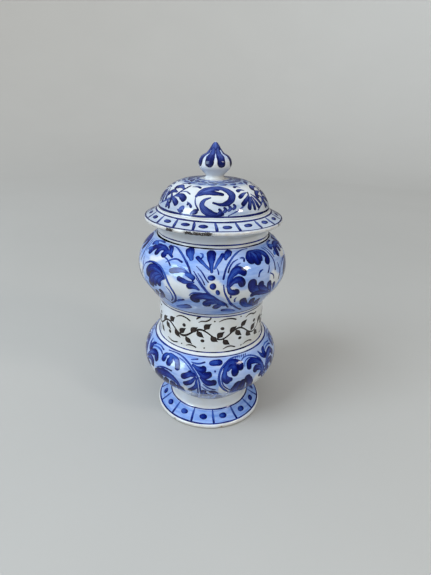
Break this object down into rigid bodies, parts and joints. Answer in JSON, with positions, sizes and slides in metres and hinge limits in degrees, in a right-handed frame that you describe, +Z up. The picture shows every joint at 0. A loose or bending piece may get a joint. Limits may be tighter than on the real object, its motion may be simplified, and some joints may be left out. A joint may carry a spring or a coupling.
{
  "type": "apothecary jar",
  "caption": "Lidded, waisted tin-glazed earthenware jar for dry drugs and spices, with a hollow foot, a lift-off domed lid and an onion-shaped knob.",
  "frame": {"origin": "centre of the foot's standing plane, on the jar's axis", "axes": "+Z up along the jar's axis; +X to the right and -Y towards the viewer of the main decoration"},
  "size_m": [0.1184, 0.1184, 0.225],
  "materials": {
    "body_glaze": "glossy tin glaze",
    "foot_glaze": "glossy tin glaze, pale blue wash",
    "lid_glaze": "glossy tin glaze",
    "ring_glaze": "glossy tin glaze",
    "knob_glaze": "glossy tin glaze",
    "cobalt_brushwork": "cobalt blue under a glossy glaze",
    "pale_wash": "pale blue wash under a glossy glaze",
    "manganese_brushwork": "brown-black pen work under a glossy glaze",
    "bare_biscuit": "unglazed fired earthenware"
  },
  "bodies": {
    "jar": {"jar_body": "body_glaze", "foot_ring": "foot_glaze"},
    "lid": {"lid_shell": "lid_glaze", "lid_seat_ring": "ring_glaze", "lid_knob": "knob_glaze"}
  },
  "joints": [
    {"name": "lid_lift", "type": "slide", "parent": "jar", "child": "lid", "axis": [0, 0, 1], "range_m": [0, 0.08]}
  ]
}
